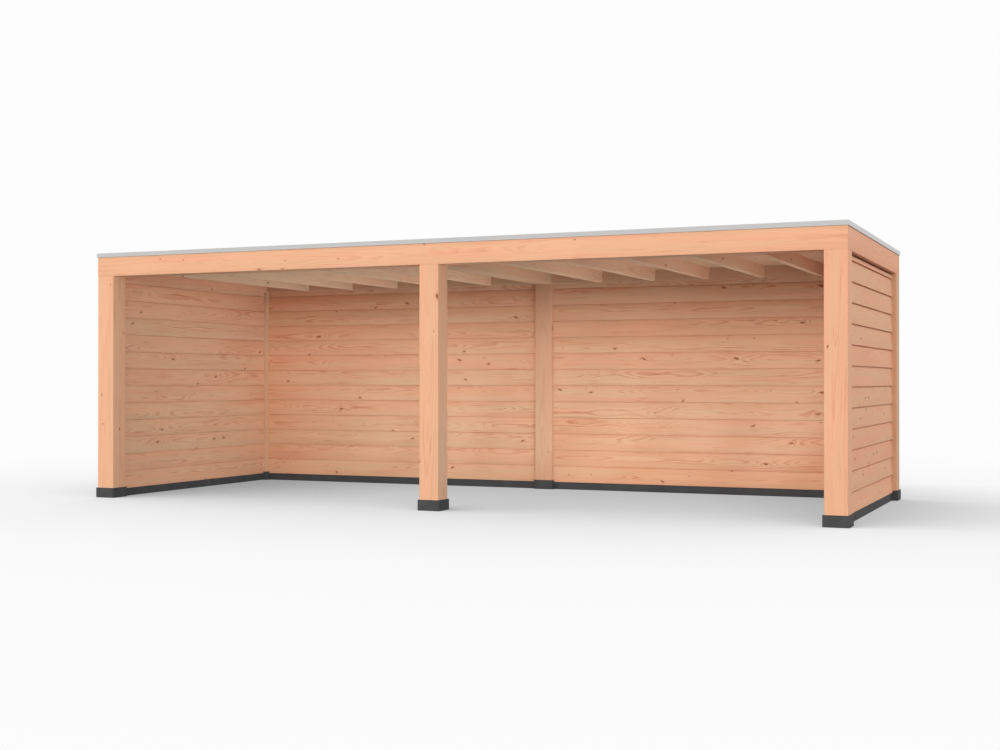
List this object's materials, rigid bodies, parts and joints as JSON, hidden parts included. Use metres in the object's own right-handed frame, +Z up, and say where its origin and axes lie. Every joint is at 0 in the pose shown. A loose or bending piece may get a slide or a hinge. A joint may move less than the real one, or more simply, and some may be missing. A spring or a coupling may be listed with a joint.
{
  "type": "wooden patio cover",
  "caption": "Flat-roofed timber patio cover, open at the front, with square posts on feet, lapped board walls at the ends and back, and a metal roof edge.",
  "frame": {"origin": "on the ground, at the centre of the bounding box's bottom face", "axes": "+X along the length, to the right seen from the open front; +Y from the open front to the back wall; +Z up"},
  "size_m": [7.625, 3.065, 2.507],
  "materials": {
    "frame_timber": "planed softwood, unpainted",
    "roof_timber": "planed softwood, unpainted",
    "wall_boards": "planed knotty softwood boards, unpainted",
    "anthracite_block": "through-coloured cast concrete, matt",
    "roof_rubber": "matt rubber sheet",
    "edge_trim": "plain extruded aluminium, satin"
  },
  "bodies": {
    "root": {"front_left_foot": "anthracite_block", "front_middle_foot": "anthracite_block", "front_right_foot": "anthracite_block", "back_left_foot": "anthracite_block", "back_middle_foot": "anthracite_block", "back_right_foot": "anthracite_block", "front_left_post": "frame_timber", "front_middle_post": "frame_timber", "front_right_post": "frame_timber", "back_left_post": "frame_timber", "back_middle_post": "frame_timber", "back_right_post": "frame_timber", "front_left_beam": "frame_timber", "front_right_beam": "frame_timber", "back_left_beam": "frame_timber", "back_right_beam": "frame_timber", "left_beam": "frame_timber", "right_beam": "frame_timber", "middle_beam": "frame_timber", "left_bay_rafter_1": "roof_timber", "left_bay_rafter_2": "roof_timber", "left_bay_rafter_3": "roof_timber", "left_bay_rafter_4": "roof_timber", "left_bay_rafter_5": "roof_timber", "right_bay_rafter_1": "roof_timber", "right_bay_rafter_2": "roof_timber", "right_bay_rafter_3": "roof_timber", "right_bay_rafter_4": "roof_timber", "right_bay_rafter_5": "roof_timber", "left_sill": "anthracite_block", "right_sill": "anthracite_block", "back_left_sill": "anthracite_block", "back_right_sill": "anthracite_block", "left_wall_outer_boards": "wall_boards", "right_wall_outer_boards": "wall_boards", "back_left_wall_outer_boards": "wall_boards", "back_right_wall_outer_boards": "wall_boards", "left_wall_inner_boards": "wall_boards", "right_wall_inner_boards": "wall_boards", "back_left_wall_inner_boards": "wall_boards", "back_right_wall_inner_boards": "wall_boards", "roof_deck": "roof_timber", "roof_membrane": "roof_rubber", "front_roof_trim": "edge_trim", "back_roof_trim": "edge_trim", "left_roof_trim": "edge_trim", "right_roof_trim": "edge_trim"}
  },
  "joints": []
}
